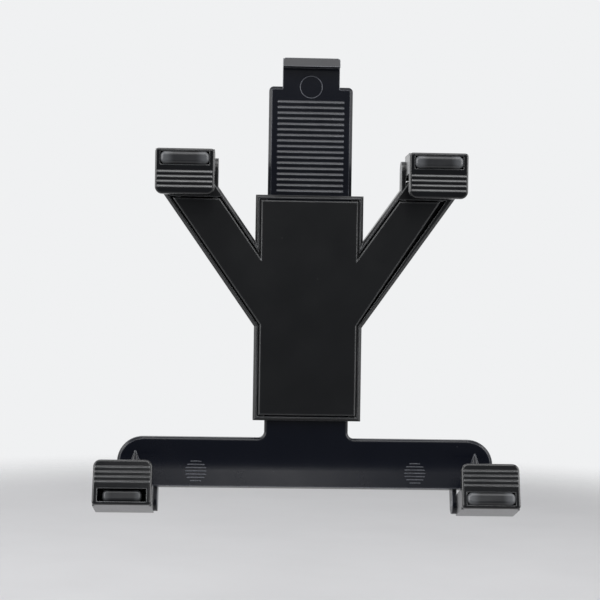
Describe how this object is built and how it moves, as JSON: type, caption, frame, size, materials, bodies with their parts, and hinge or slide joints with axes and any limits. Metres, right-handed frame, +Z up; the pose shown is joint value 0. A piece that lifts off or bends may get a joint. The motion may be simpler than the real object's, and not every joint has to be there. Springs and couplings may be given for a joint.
{
  "type": "tablet holder",
  "caption": "Black car tablet holder: Y-shaped sleeve with fixed upper arms, spring-loaded slider with a cross bar, hook claws with grip bars, and a rear ball socket.",
  "frame": {"origin": "centre of the ball in the rear socket, behind the middle of the sleeve", "axes": "+Z up along the slider, +Y out of the back along the ball socket, +X to the right of the user"},
  "size_m": [0.166, 0.0471, 0.182],
  "materials": {
    "black_abs": "satin moulded ABS",
    "grip_rubber": "moulded rubber",
    "spring_steel": "drawn wire",
    "screw_steel": "zinc plated"
  },
  "bodies": {
    "housing": {"rear_housing": "black_abs", "front_cover": "black_abs", "left_spring": "spring_steel", "right_spring": "spring_steel", "upper_left_pin": "screw_steel", "upper_right_pin": "screw_steel", "housing_screws": "screw_steel", "ball_socket": "black_abs", "socket_screws": "screw_steel"},
    "slider": {"slider": "black_abs", "lower_left_pin": "screw_steel", "lower_right_pin": "screw_steel"},
    "lock_nut": {"lock_nut": "black_abs"},
    "upper_left_claw": {"upper_left_claw": "black_abs", "upper_left_pad": "grip_rubber"},
    "upper_right_claw": {"upper_right_claw": "black_abs", "upper_right_pad": "grip_rubber"},
    "lower_left_claw": {"lower_left_claw": "black_abs", "lower_left_pad": "grip_rubber"},
    "lower_right_claw": {"lower_right_claw": "black_abs", "lower_right_pad": "grip_rubber"}
  },
  "joints": [
    {"name": "slider_pull", "type": "slide", "parent": "housing", "child": "slider", "axis": [0, 0, -1], "range_m": [0, 0.048], "stiffness_N_per_m": 120, "springref_m": -0.05, "deforming": ["left_spring", "right_spring"]},
    {"name": "upper_left_claw_hinge", "type": "hinge", "parent": "housing", "child": "upper_left_claw", "pos_m": [0, -0.019, 0.0555], "axis": [-1, 0, 0], "range_deg": [0, 25]},
    {"name": "upper_right_claw_hinge", "type": "hinge", "parent": "housing", "child": "upper_right_claw", "pos_m": [0, -0.019, 0.0555], "axis": [-1, 0, 0], "range_deg": [0, 25]},
    {"name": "lower_left_claw_hinge", "type": "hinge", "parent": "slider", "child": "lower_left_claw", "pos_m": [0, -0.019, -0.078], "axis": [1, 0, 0], "range_deg": [0, 25]},
    {"name": "lower_right_claw_hinge", "type": "hinge", "parent": "slider", "child": "lower_right_claw", "pos_m": [0, -0.019, -0.078], "axis": [1, 0, 0], "range_deg": [0, 25]},
    {"name": "lock_nut_turn", "type": "hinge", "parent": "housing", "child": "lock_nut", "pos_m": [0, 0, 0], "axis": [0, 1, 0], "range_deg": [-90, 90]}
  ]
}
